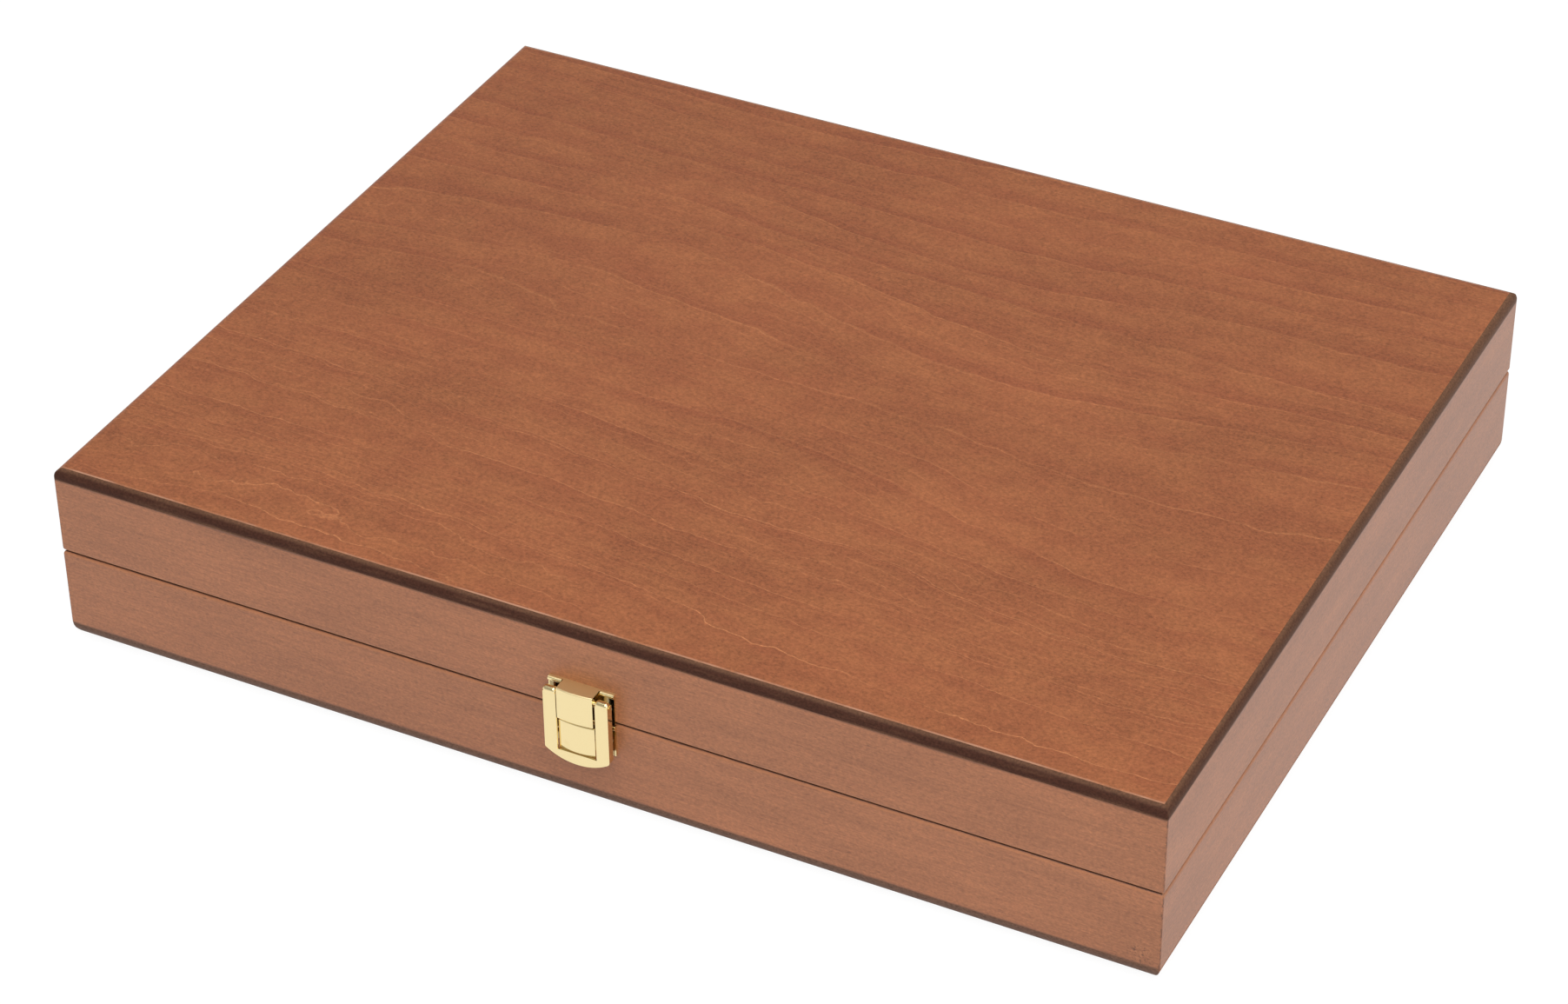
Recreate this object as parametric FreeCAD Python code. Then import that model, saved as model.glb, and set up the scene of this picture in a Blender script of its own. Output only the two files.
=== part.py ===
import FreeCAD, Part
import math
import os

# Flat hinged presentation case in stained wood, with a gold clasp on the front.
# Millimetres. The origin is the middle of the underside, +Z up, front towards -Y.

V = FreeCAD.Vector

# Case
case_width = 336.0
case_depth = 266.0
case_height = 59.0
seam_height = 30.8
rim_gap = 0.05
wall_thickness = 10.0
top_panel_thickness = 3.5
bottom_panel_thickness = 5.6
bottom_edge_radius = 6.2
top_edge_radius = 2.8
rim_edge_radius = 1.2
corner_radius = 0.6

# Lining sheets glued inside the base and the lid
lining_thickness = 2.0
lining_clearance = 0.3

# Hinges let into the two rear rims
lid_open_angle = 95.0
hinge_spacing = 190.0
hinge_length = 30.0
hinge_leaf_thickness = 1.0
hinge_leaf_margin = 2.0
hinge_pocket_clearance = 0.1
hinge_pin_radius = 0.8
hinge_pin_clearance = 0.05
hinge_pin_head_radius = 1.2
hinge_pin_head_length = 0.5
knuckle_wall = 0.95
knuckle_gap = 0.2
centre_knuckle_length = 10.0
barrel_clearance = 0.25
stop_fin_reach = 4.5
stop_fin_thickness = 1.0
stop_gap = 0.1

# Hinge screws
screw_spacing = 18.0
screw_length = 10.0
screw_radius = 1.0
screw_head_radius = 2.0
screw_tip_length = 2.0
screw_slot_width = 0.5
screw_slot_depth = 0.5
screw_clearance = 0.02

# Clasp plates, one on the lid and one on the base
plate_width = 20.0
plate_height = 10.1
plate_thickness = 0.8
plate_seam_gap = 0.3
sheet_thickness = 0.6
hood_width = 11.0
hood_reach = 5.4
keeper_reach = 4.7
hood_crown_radius = 30.0
hood_seam_gap = 0.45
hood_bend_radius = 0.45
keeper_bend_radius = 0.6
lip_radius = 0.7
lip_hood_gap = 0.4

# Clasp flap, hung from a pin in the lid plate's hood
flap_width = 19.8
flap_thickness = 0.6
flap_stand = 0.2
flap_side_gap = 0.45
flap_side_play = 0.25
flap_keeper_gap = 0.1
flap_sill_lap = 0.2
flap_tab_drop = 3.3
flap_flange_depth = 2.4
flap_edge_radius = 0.25
flap_corner_radius = 1.0
flap_knuckle_radius = 1.3
flap_knuckle_ease = 0.9
flap_knuckle_stand = 0.2
flap_knuckle_drop = 1.9
clasp_pin_radius = 0.5
clasp_pin_clearance = 0.06
clasp_pin_seat_clearance = 0.02
clasp_pin_end_inset = 0.1

# Round-headed nails that hold the clasp plates
nail_radius = 0.55
nail_length = 8.5
nail_tip_length = 1.5
nail_head_radius = 1.4
nail_head_height = 0.7
nail_clearance = 0.02

# Places worked out from the sizes above
half_width = case_width / 2
half_depth = case_depth / 2
base_rim = seam_height - rim_gap / 2
lid_rim = seam_height + rim_gap / 2
lid_ceiling = case_height - top_panel_thickness

leaf_width = wall_thickness - hinge_leaf_margin
barrel_radius = hinge_pin_radius + hinge_pin_clearance + knuckle_wall
hinge_axis_y = half_depth + barrel_clearance + barrel_radius
hinge_axis_z = seam_height

plate_top = seam_height + plate_seam_gap + plate_height
plate_foot = seam_height - plate_seam_gap - plate_height
hood_crown = hood_crown_radius - math.sqrt(hood_crown_radius ** 2 - (hood_width / 2) ** 2)
flap_front = hood_reach - hood_crown + flap_stand
flap_back = flap_front - flap_thickness
flap_bar_back = keeper_reach + flap_keeper_gap
flap_sill = plate_foot + flap_sill_lap
flap_inner = hood_width / 2 + flap_side_gap
flap_outer = flap_width / 2
clasp_pin_out = flap_front + flap_knuckle_stand - flap_knuckle_radius
clasp_pin_z = plate_top - flap_knuckle_drop
nail_x = (hood_width + plate_width) / 4


# Drawing helpers

def on_plan(z):
    return lambda p: V(p.x, p.y, z)


def on_front(y):
    return lambda p: V(p.x, y, p.y)


def on_side(x):
    return lambda p: V(x, p.x, p.y)


def eased_corner(before, corner, after, radius):
    """Start, middle and end of the arc that eases one corner of an outline."""
    to_before = (before - corner).normalize()
    to_after = (after - corner).normalize()
    half_angle = to_before.getAngle(to_after) / 2
    tangent = radius / math.tan(half_angle)
    bisector = (to_before + to_after).normalize()
    middle = corner + bisector * (radius / math.sin(half_angle) - radius)
    return corner + to_before * tangent, middle, corner + to_after * tangent


def outline(corners, place):
    """Closed wire through corners (a, b, radius), laid in space by place."""
    points = [V(a, b, 0) for a, b, _ in corners]
    arcs = []
    for i, (_, _, radius) in enumerate(corners):
        before, after = points[i - 1], points[(i + 1) % len(points)]
        if radius > 0:
            arcs.append(eased_corner(before, points[i], after, radius))
        else:
            arcs.append((points[i], None, points[i]))
    edges = []
    for i, (start, middle, end) in enumerate(arcs):
        if middle is not None:
            edges.append(Part.Arc(place(start), place(middle), place(end)).toShape())
        following = arcs[(i + 1) % len(arcs)][0]
        edges.append(Part.LineSegment(place(end), place(following)).toShape())
    return Part.Wire(edges)


def prism(corners, place, direction):
    return Part.Face(outline(corners, place)).extrude(direction)


def block(x0, x1, y0, y1, z0, z1):
    return Part.makeBox(x1 - x0, y1 - y0, z1 - z0, V(x0, y0, z0))


def clasp_block(x0, x1, out0, out1, z0, z1):
    """Block given by its distances out from the case's front face."""
    return block(x0, x1, -half_depth - out1, -half_depth - out0, z0, z1)


def rod(radius, start, direction, length):
    return Part.makeCylinder(radius, length, start, direction)


def fused(first, *others):
    return first.multiFuse(list(others)).removeSplitter()


def grouped(shapes):
    return Part.makeCompound(shapes)


# Wooden shells

def rectangle(half_a, half_b, radius):
    signs = [(-1, -1), (1, -1), (1, 1), (-1, 1)]
    return [(a * half_a, b * half_b, radius) for a, b in signs]


def wall_section(half, low, high, low_radius, high_radius):
    return [
        (-half, low, low_radius),
        (half, low, low_radius),
        (half, high, high_radius),
        (-half, high, high_radius),
    ]


def shell_form(low, high, low_radius, high_radius):
    """Outer form of one half of the case: the eased edges meet in mitres at the corners."""
    plan = rectangle(half_width, half_depth, corner_radius)
    upright = prism(plan, on_plan(low), V(0, 0, high - low))
    across = wall_section(half_width, low, high, low_radius, high_radius)
    front = prism(across, on_front(-half_depth), V(0, case_depth, 0))
    along = wall_section(half_depth, low, high, low_radius, high_radius)
    side = prism(along, on_side(-half_width), V(case_width, 0, 0))
    return upright.common(front).common(side)


def mitred_walls(form, low, high):
    """The four walls of one half, mitred at 45 degrees and cut to the outer form."""
    outer = rectangle(half_width, half_depth, 0)
    inner = rectangle(half_width - wall_thickness, half_depth - wall_thickness, 0)
    walls = {}
    for i, name in enumerate(["front", "right", "back", "left"]):
        after = (i + 1) % len(outer)
        plan = [outer[i], outer[after], inner[after], inner[i]]
        walls[name] = prism(plan, on_plan(low), V(0, 0, high - low)).common(form)
    return walls


def panel(form, low, high):
    return block(-half_width, half_width, -half_depth, half_depth, low, high).common(form)


def lining(low):
    half_x = half_width - wall_thickness - lining_clearance
    half_y = half_depth - wall_thickness - lining_clearance
    return block(-half_x, half_x, -half_y, half_y, low, low + lining_thickness)


# Hinges

def hinge_leaf_levels(on_lid):
    if on_lid:
        return lid_rim, lid_rim + hinge_leaf_thickness
    return base_rim - hinge_leaf_thickness, base_rim


def hinge_pocket(x, on_lid):
    low, high = hinge_leaf_levels(on_lid)
    reach = hinge_length / 2 + hinge_pocket_clearance
    inner = half_depth - leaf_width - hinge_pocket_clearance
    return block(x - reach, x + reach, inner, half_depth, low, high)


def knuckle_spans(x, on_lid):
    """Stretches of the barrel that belong to one leaf."""
    centre = centre_knuckle_length / 2
    end = hinge_length / 2
    if on_lid:
        return [(x - centre, x + centre)]
    return [(x - end, x - centre - knuckle_gap), (x + centre + knuckle_gap, x + end)]


def barrel_rod(radius, x0, x1):
    return rod(radius, V(x0, hinge_axis_y, hinge_axis_z), V(1, 0, 0), x1 - x0)


def stop_fin(x):
    """Fin behind the centre knuckle: it meets the back wall when the lid is open."""
    corner_reach = math.hypot(stop_fin_reach, stop_fin_thickness / 2)
    corner_lag = math.degrees(math.atan2(stop_fin_thickness / 2, stop_fin_reach))
    to_wall = hinge_axis_y - half_depth - stop_gap
    contact = math.degrees(math.acos(-to_wall / corner_reach))
    x0, x1 = knuckle_spans(x, True)[0]
    half = stop_fin_thickness / 2
    fin = block(x0, x1, hinge_axis_y, hinge_axis_y + stop_fin_reach, hinge_axis_z - half, hinge_axis_z + half)
    fin.rotate(V(x, hinge_axis_y, hinge_axis_z), V(1, 0, 0), lid_open_angle + corner_lag - contact)
    return fin


def screw_places(x):
    y = half_depth - leaf_width / 2
    return [(x - screw_spacing / 2, y), (x + screw_spacing / 2, y)]


def screw_form(x, y, on_lid, clearance):
    """Countersunk screw, driven down into the base or up into the lid."""
    low, high = hinge_leaf_levels(on_lid)
    level, inwards = (low, 1) if on_lid else (high, -1)
    head_length = screw_head_radius - screw_radius
    shank_length = screw_length - head_length - screw_tip_length
    way = V(0, 0, inwards)
    top = V(x, y, level)
    head = Part.makeCone(screw_head_radius + clearance, screw_radius + clearance, head_length, top, way)
    shank = rod(screw_radius + clearance, top + way * head_length, way, shank_length)
    tip_start = top + way * (head_length + shank_length)
    tip = Part.makeCone(screw_radius + clearance, 0, screw_tip_length, tip_start, way)
    return fused(head, shank, tip)


def screw(x, y, on_lid):
    low, high = hinge_leaf_levels(on_lid)
    level = low if on_lid else high
    half = screw_slot_width / 2
    reach = screw_head_radius
    slot = block(x - reach, x + reach, y - half, y + half, level - screw_slot_depth, level + screw_slot_depth)
    return screw_form(x, y, on_lid, 0).cut(slot)


def hinge_leaf(x, on_lid):
    low, high = hinge_leaf_levels(on_lid)
    half = hinge_length / 2
    leaf = block(x - half, x + half, half_depth - leaf_width, half_depth, low, high)
    pieces = []
    for x0, x1 in knuckle_spans(x, on_lid):
        pieces.append(block(x0, x1, half_depth, hinge_axis_y, low, high))
        pieces.append(barrel_rod(barrel_radius, x0, x1))
    if on_lid:
        pieces.append(stop_fin(x))
    leaf = fused(leaf, *pieces)
    leaf = leaf.cut(barrel_rod(hinge_pin_radius + hinge_pin_clearance, x - half, x + half))
    for place in screw_places(x):
        leaf = leaf.cut(screw_form(*place, on_lid, screw_clearance))
    return leaf


def hinge_pin(x):
    half = hinge_length / 2
    pin = barrel_rod(hinge_pin_radius, x - half, x + half)
    left_head = barrel_rod(hinge_pin_head_radius, x - half - hinge_pin_head_length, x - half)
    right_head = barrel_rod(hinge_pin_head_radius, x + half, x + half + hinge_pin_head_length)
    return fused(pin, left_head, right_head)


def fitted_for_hinges(wall, on_lid, hinge_places):
    """Rear wall with its hinge pockets and screw holes."""
    for x in hinge_places:
        wall = wall.cut(hinge_pocket(x, on_lid))
        for place in screw_places(x):
            wall = wall.cut(screw_form(*place, on_lid, screw_clearance))
    return wall


# Clasp

def crowned_core(reach, low, high):
    """Upright round column whose front bulges out to the given reach."""
    centre = V(0, hood_crown_radius - half_depth - reach, low)
    return rod(hood_crown_radius, centre, V(0, 0, 1), high - low)


def crowned_block(half, reach, low, high):
    return clasp_block(-half, half, 0, reach, low, high).common(crowned_core(reach, low, high))


def hood(reach, low, high, bend_radius):
    """Closed-sided hood with a crowned front and a rounded top, open below."""
    half = hood_width / 2
    outer = crowned_block(half, reach, low, high)
    brow = [e for e in outer.Edges if e.BoundBox.YMax < -half_depth - bend_radius and e.BoundBox.ZMin > low]
    outer = outer.makeFillet(bend_radius, [e for e in brow if e.BoundBox.XLength > half])
    inner = crowned_block(half - sheet_thickness, reach - sheet_thickness, low, high - sheet_thickness)
    return outer.cut(inner)


def plate_lips(top):
    """Rolled lips along the plate's top edge, either side of the hood."""
    inner = hood_width / 2 + lip_hood_gap
    length = plate_width / 2 - inner
    centre_y = -half_depth - lip_radius
    starts = [-plate_width / 2, inner]
    return [rod(lip_radius, V(x, centre_y, top - lip_radius), V(1, 0, 0), length) for x in starts]


def clasp_plate(foot, top, hood_piece):
    half = plate_width / 2
    plate = clasp_block(-half, half, 0, plate_thickness, foot, top)
    plate = fused(plate, hood_piece, *plate_lips(top))
    for x in (-nail_x, nail_x):
        hole = V(x, -half_depth - plate_thickness, (foot + top) / 2)
        plate = plate.cut(rod(nail_radius + nail_clearance, hole, V(0, 1, 0), plate_thickness))
    return plate


def clasp_pin_rod(radius, half_length):
    start = V(-half_length, -half_depth - clasp_pin_out, clasp_pin_z)
    return rod(radius, start, V(1, 0, 0), 2 * half_length)


def tongue(points, front, back):
    """Slab seen from the front: straight lines through the points, closed below by the flap's arc."""
    place = on_front(-half_depth - front)
    spots = [place(V(a, b, 0)) for a, b in points]
    edges = [Part.LineSegment(p, q).toShape() for p, q in zip(spots, spots[1:])]
    lowest = place(V(0, plate_foot - flap_tab_drop, 0))
    edges.append(Part.Arc(spots[-1], lowest, spots[0]).toShape())
    return Part.Face(Part.Wire(edges)).extrude(V(0, front - back, 0))


def flap_blank():
    """Flap's outline, two rails and a round-ended bar about an open-topped window, as a slab."""
    points = [
        (flap_outer, plate_foot),
        (flap_outer, clasp_pin_z),
        (flap_inner, clasp_pin_z),
        (flap_inner, flap_sill),
        (-flap_inner, flap_sill),
        (-flap_inner, clasp_pin_z),
        (-flap_outer, clasp_pin_z),
        (-flap_outer, plate_foot),
    ]
    return tongue(points, flap_front, flap_back)


def flap_bounds():
    """Block that the flap is cut to, with its two lower corners rounded."""
    top = clasp_pin_z + 2 * flap_knuckle_radius
    points = [(flap_outer, plate_foot), (flap_outer, top), (-flap_outer, top), (-flap_outer, plate_foot)]
    bounds = tongue(points, hood_reach + flap_knuckle_radius, 0)
    cross = [e for e in bounds.Edges if e.BoundBox.YLength > hood_reach and e.BoundBox.ZMax < top]
    return bounds.makeFillet(flap_corner_radius, cross)


def flap_face():
    """Flat front of the flap with softened rails, hollowed behind its bar to clear the keeper."""
    slab = flap_blank()
    front = [e for e in slab.Edges if e.BoundBox.YMax < -half_depth - flap_front + flap_edge_radius]
    upright = [e for e in front if e.BoundBox.XLength < flap_edge_radius]
    slab = slab.makeFillet(flap_edge_radius, upright)
    lowest = plate_foot - flap_tab_drop
    return slab.cut(crowned_core(flap_bar_back, lowest, flap_sill))


def flap_side(x0, x1):
    """Side flange and top knuckle of one rail, between the rail's inner and outer faces."""
    outside = x1 if x1 > 0 else x0
    flange_in = outside - math.copysign(flap_thickness, outside)
    low, high = sorted((flange_in, outside))
    flange = clasp_block(low, high, flap_front - flap_flange_depth, flap_back, plate_foot, clasp_pin_z)
    start = V(x0, -half_depth - clasp_pin_out, clasp_pin_z)
    knuckle = rod(flap_knuckle_radius, start, V(1, 0, 0), x1 - x0)
    rims = [e for e in knuckle.Edges if e.BoundBox.XLength < flap_knuckle_ease]
    return [flange, knuckle.makeFillet(flap_knuckle_ease, rims)]


def clasp_flap():
    """Flap, set off to one side by its play between the hood's sides."""
    left = flap_side(-flap_outer, -flap_inner)
    right = flap_side(flap_inner, flap_outer)
    flap = flap_face().multiFuse([*left, *right])
    flap = flap.cut(clasp_pin_rod(clasp_pin_radius + clasp_pin_clearance, flap_outer))
    flap = flap.common(flap_bounds())
    flap.translate(V(flap_side_play, 0, 0))
    return flap


def nail_shank(x, z, clearance):
    start = V(x, -half_depth - plate_thickness, z)
    straight = plate_thickness + nail_length - nail_tip_length
    shank = rod(nail_radius + clearance, start, V(0, 1, 0), straight)
    tip_start = start + V(0, straight, 0)
    tip = Part.makeCone(nail_radius + clearance, 0, nail_tip_length, tip_start, V(0, 1, 0))
    return fused(shank, tip)


def nail(x, z):
    """Nail with a domed head: a cap cut from a ball."""
    ball = (nail_head_radius ** 2 + nail_head_height ** 2) / (2 * nail_head_height)
    centre = V(x, -half_depth - plate_thickness + ball - nail_head_height, z)
    cap = Part.makeSphere(ball, centre)
    keep = clasp_block(
        x - ball, x + ball, plate_thickness, plate_thickness + nail_head_height, z - ball, z + ball
    )
    return fused(cap.common(keep), nail_shank(x, z, 0))


def fitted_for_clasp(wall, z):
    for x in (-nail_x, nail_x):
        wall = wall.cut(nail_shank(x, z, nail_clearance))
    return wall


# Assembly

def build():
    nodes = {}
    hinge_places = {"left": -hinge_spacing / 2, "right": hinge_spacing / 2}
    lid_nail_z = (seam_height + plate_seam_gap + plate_top) / 2
    base_nail_z = (seam_height - plate_seam_gap + plate_foot) / 2

    base_form = shell_form(0, base_rim, bottom_edge_radius, rim_edge_radius)
    nodes["base_bottom_panel"] = panel(base_form, 0, bottom_panel_thickness)
    for side, wall in mitred_walls(base_form, bottom_panel_thickness, base_rim).items():
        nodes[f"base_{side}_wall"] = wall
    nodes["base_lining"] = lining(bottom_panel_thickness)

    lid_form = shell_form(lid_rim, case_height, rim_edge_radius, top_edge_radius)
    nodes["lid_top_panel"] = panel(lid_form, lid_ceiling, case_height)
    for side, wall in mitred_walls(lid_form, lid_rim, lid_ceiling).items():
        nodes[f"lid_{side}_rail"] = wall
    nodes["lid_lining"] = lining(lid_ceiling - lining_thickness)

    places = hinge_places.values()
    nodes["base_back_wall"] = fitted_for_hinges(nodes["base_back_wall"], False, places)
    nodes["lid_back_rail"] = fitted_for_hinges(nodes["lid_back_rail"], True, places)
    for side, x in hinge_places.items():
        nodes[f"{side}_hinge_base_leaf"] = hinge_leaf(x, False)
        nodes[f"{side}_hinge_lid_leaf"] = hinge_leaf(x, True)
        nodes[f"{side}_hinge_pin"] = hinge_pin(x)
    spots = [spot for x in places for spot in screw_places(x)]
    nodes["base_hinge_screws"] = grouped([screw(*spot, False) for spot in spots])
    nodes["lid_hinge_screws"] = grouped([screw(*spot, True) for spot in spots])

    lid_hood = hood(hood_reach, seam_height + hood_seam_gap, plate_top, hood_bend_radius)
    lid_hood = lid_hood.cut(clasp_pin_rod(clasp_pin_radius + clasp_pin_seat_clearance, hood_width))
    nodes["clasp_lid_plate"] = clasp_plate(seam_height + plate_seam_gap, plate_top, lid_hood)
    keeper = hood(keeper_reach, plate_foot, seam_height - hood_seam_gap, keeper_bend_radius)
    nodes["clasp_keeper_plate"] = clasp_plate(plate_foot, seam_height - plate_seam_gap, keeper)
    nodes["clasp_flap"] = clasp_flap()
    nodes["clasp_pin"] = clasp_pin_rod(clasp_pin_radius, flap_outer - clasp_pin_end_inset)
    nodes["lid_front_rail"] = fitted_for_clasp(nodes["lid_front_rail"], lid_nail_z)
    nodes["base_front_wall"] = fitted_for_clasp(nodes["base_front_wall"], base_nail_z)
    nodes["lid_clasp_nails"] = grouped([nail(x, lid_nail_z) for x in (-nail_x, nail_x)])
    nodes["base_clasp_nails"] = grouped([nail(x, base_nail_z) for x in (-nail_x, nail_x)])
    return nodes


def export(nodes):
    os.makedirs("parts", exist_ok=True)
    for name, shape in nodes.items():
        shape.exportStep(os.path.join("parts", name + ".step"))
        print(f"{name:24s} solids {len(shape.Solids)} valid {shape.isValid()} volume {shape.Volume:.2f}")


export(build())
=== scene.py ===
import math

import bmesh
import bpy
from bpy.props import FloatProperty, FloatVectorProperty, PointerProperty
from mathutils import Euler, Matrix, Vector, noise


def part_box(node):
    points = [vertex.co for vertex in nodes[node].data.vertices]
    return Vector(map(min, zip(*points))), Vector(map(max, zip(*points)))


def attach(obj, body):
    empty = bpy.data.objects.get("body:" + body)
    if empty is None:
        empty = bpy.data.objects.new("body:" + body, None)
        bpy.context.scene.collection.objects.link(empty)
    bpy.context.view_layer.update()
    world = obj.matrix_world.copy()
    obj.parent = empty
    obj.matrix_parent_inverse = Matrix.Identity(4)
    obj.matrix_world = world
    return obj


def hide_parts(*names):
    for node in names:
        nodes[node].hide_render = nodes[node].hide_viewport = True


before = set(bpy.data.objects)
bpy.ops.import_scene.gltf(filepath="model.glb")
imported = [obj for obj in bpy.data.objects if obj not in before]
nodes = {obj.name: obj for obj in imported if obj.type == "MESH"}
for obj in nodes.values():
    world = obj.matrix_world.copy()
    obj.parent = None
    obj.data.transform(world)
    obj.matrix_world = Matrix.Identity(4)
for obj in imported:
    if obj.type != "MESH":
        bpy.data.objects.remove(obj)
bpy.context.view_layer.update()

bl_info = {
    "name": "Hinged presentation case",
    "version": (1, 0, 0),
    "blender": (4, 5, 0),
    "location": "3D View > Sidebar > Case",
    "description": "Stained wooden case with a veneered lid, a lined inside and a gold clasp",
    "category": "Object",
}

MM = 0.001
panel_low, panel_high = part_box("lid_top_panel")
floor_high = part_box("base_bottom_panel")[1]
wall_low, wall_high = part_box("base_front_wall")
rail_low, rail_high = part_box("lid_front_rail")
half_width = panel_high.x
half_depth = panel_high.y
wall_thickness = wall_high.y - wall_low.y


def screen(red, green, blue):
    """Linear light for a colour given in screen values from 0 to 255."""
    shares = [value / 255 for value in (red, green, blue)]
    return tuple(s / 12.92 if s <= 0.04045 else ((s + 0.055) / 1.055) ** 2.4 for s in shares)


def length(label, text, millimetres):
    return FloatProperty(
        name=label, description=text, default=millimetres * MM, unit="LENGTH", precision=5
    )


def colour(label, text, red, green, blue):
    light = screen(red, green, blue)
    return FloatVectorProperty(
        name=label, description=text, default=light, subtype="COLOR", min=0, max=1
    )


def power(label, text, value):
    return FloatProperty(name=label, description=text, default=value, min=0)


# Sizes and colours that a user may change

class CaseShape(bpy.types.PropertyGroup):
    top_rounding: length("Top rounding", "Radius along the lid's upper edge", 2.8)
    foot_rounding: length("Foot rounding", "Radius along the base's lower edge", 6.2)
    rim_rounding: length("Rim rounding", "Radius along the two rims that meet at the seam", 1.2)
    corner_rounding: length("Corner rounding", "Radius of the upright corners", 0.6)
    inner_easing: length("Inner easing", "Rounding of the rims' inner edges", 0.3)


class WoodColours(bpy.types.PropertyGroup):
    veneer: colour("Veneer", "Middle tone of the lid's veneer", 161, 98, 62)
    veneer_light: colour("Veneer line", "Thin light line at each growth ring", 188, 121, 79)
    veneer_dark: colour("Veneer shade", "Reddish patches and the rings' dark sides", 142, 79, 52)
    # Painted highlight along the veneer's front and back arris, broken up like rubbing
    veneer_arris_highlight: colour("Veneer arris", "Painted highlight, broken like rubbing, where the veneer turns over", 198, 150, 122)
    wall: colour("Wall", "Middle tone of the walls", 165, 105, 69)
    # Also the painted highlight, mixed with wear, on the rims' rounding
    wall_pale_and_rim_highlight: colour("Wall light", "Light fibres of the walls, and the rims' painted highlight", 180, 119, 81)
    wall_dark: colour("Wall dark", "Dark fibres of the walls", 142, 88, 60)
    core: colour("Core", "Stained edge of the lid's panel", 70, 41, 30)
    # Rubbing mixed with painted highlight next to the veneer and painted reflection next to the
    # walls
    core_rub_and_highlight: colour("Core light", "Rubbed stretches of the panels' edges with painted highlight and reflection", 118, 84, 62)
    foot: colour("Foot", "Stained edge of the bottom panel", 112, 84, 70)
    # Painted shade and dirt in the seam of the front and back walls; also the colour of the nicks
    # and dents
    seam_shade_and_nicks: colour("Groove", "Painted shade and dirt in the seam, and the nicks' stain", 66, 39, 27)
    # Painted light in the seam of the side walls
    seam_painted_light: colour("Seam glow", "Painted light in the seam at the sides", 184, 140, 106)
    ring_spacing: length("Ring spacing", "Usual distance between the lid's growth rings", 15.0)


class LiningLooks(bpy.types.PropertyGroup):
    pile: colour("Pile", "Colour of the velour", 92, 18, 34)
    pile_shade: colour("Pile shade", "Colour of the brushed velour", 72, 12, 26)
    edge_drop: length("Edge drop", "How far the lining's edge is pressed down", 0.9)
    edge_width: length("Edge width", "Width of the pressed edge", 3.0)


class MetalColours(bpy.types.PropertyGroup):
    gold: colour("Gold", "Plating of the clasp", 240, 220, 168)
    gold_worn: colour("Worn gold", "Rubbed patches of the plating", 226, 198, 136)
    # Painted shade on the plates in the recesses behind the clasp's flap
    gold_recess_shade: colour("Shaded gold", "Painted shade in the recesses behind the clasp's flap", 96, 62, 32)
    brass: colour("Brass", "Hinges and their screws", 214, 176, 98)
    brass_worn: colour("Worn brass", "Tarnish on the hinges", 166, 124, 62)


class FastenerSizes(bpy.types.PropertyGroup):
    screw_head: length("Screw head", "Radius of the countersunk heads", 2.0)
    screw_shank: length("Screw shank", "Radius of the screws below their heads", 1.0)
    screw_length: length("Screw length", "Length of the hinge screws", 10.0)
    screw_tip: length("Screw tip", "Length of the screws' points", 2.0)
    screw_slot: length("Screw slot", "Width and depth of the slots", 0.5)
    nail_head: length("Nail head", "Radius of the domed heads", 1.4)
    nail_dome: length("Nail dome", "Height of the domed heads", 0.7)
    nail_shank: length("Nail shank", "Radius of the clasp nails", 0.55)
    nail_length: length("Nail length", "Length of the clasp nails below their heads", 9.3)
    nail_tip: length("Nail tip", "Length of the nails' points", 1.5)


class StageLooks(bpy.types.PropertyGroup):
    floor: colour("Floor", "Studio floor", 236, 236, 236)
    key: power("Key light", "Power of the large lamp above", 23.0)
    fill: power("Fill light", "Power of the lamp at the right", 6.2)
    room: power("Room light", "Brightness of the room around", 0.42)


# Node building

class Wiring:
    """Adds nodes to a tree and feeds their inputs with values or with other nodes' outputs."""

    def __init__(self, tree):
        self.tree = tree

    def feed(self, socket, value):
        if isinstance(value, bpy.types.NodeSocket):
            self.tree.links.new(value, socket)
        elif socket.type == "RGBA" and len(value) == 3:
            socket.default_value = (*value, 1)
        else:
            socket.default_value = value

    def add(self, kind, inputs, **settings):
        made = self.tree.nodes.new(kind)
        for name, value in settings.items():
            setattr(made, name, value)
        for place, value in inputs.items():
            self.feed(made.inputs[place], value)
        return made

    def node(self, kind, inputs, **settings):
        return self.add("ShaderNode" + kind, inputs, **settings)

    def join(self, x, y, z):
        return self.node("CombineXYZ", {0: x, 1: y, 2: z}).outputs[0]

    def calc(self, operation, *values, clamp=False):
        inputs = dict(enumerate(values))
        return self.node("Math", inputs, operation=operation, use_clamp=clamp).outputs[0]

    def times(self, first, *others):
        for other in others:
            first = self.calc("MULTIPLY", first, other)
        return first

    def plus(self, first, second):
        return self.calc("ADD", first, second)

    def minus(self, first, second):
        return self.calc("SUBTRACT", first, second)

    def larger(self, first, second):
        return self.calc("MAXIMUM", first, second)

    def ramp(self, value, low, high, to_low=0.0, to_high=1.0):
        """Smooth step from one value to another."""
        inputs = {0: value, 1: low, 2: high, 3: to_low, 4: to_high}
        return self.node("MapRange", inputs, interpolation_type="SMOOTHSTEP").outputs[0]


# Material building

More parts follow.
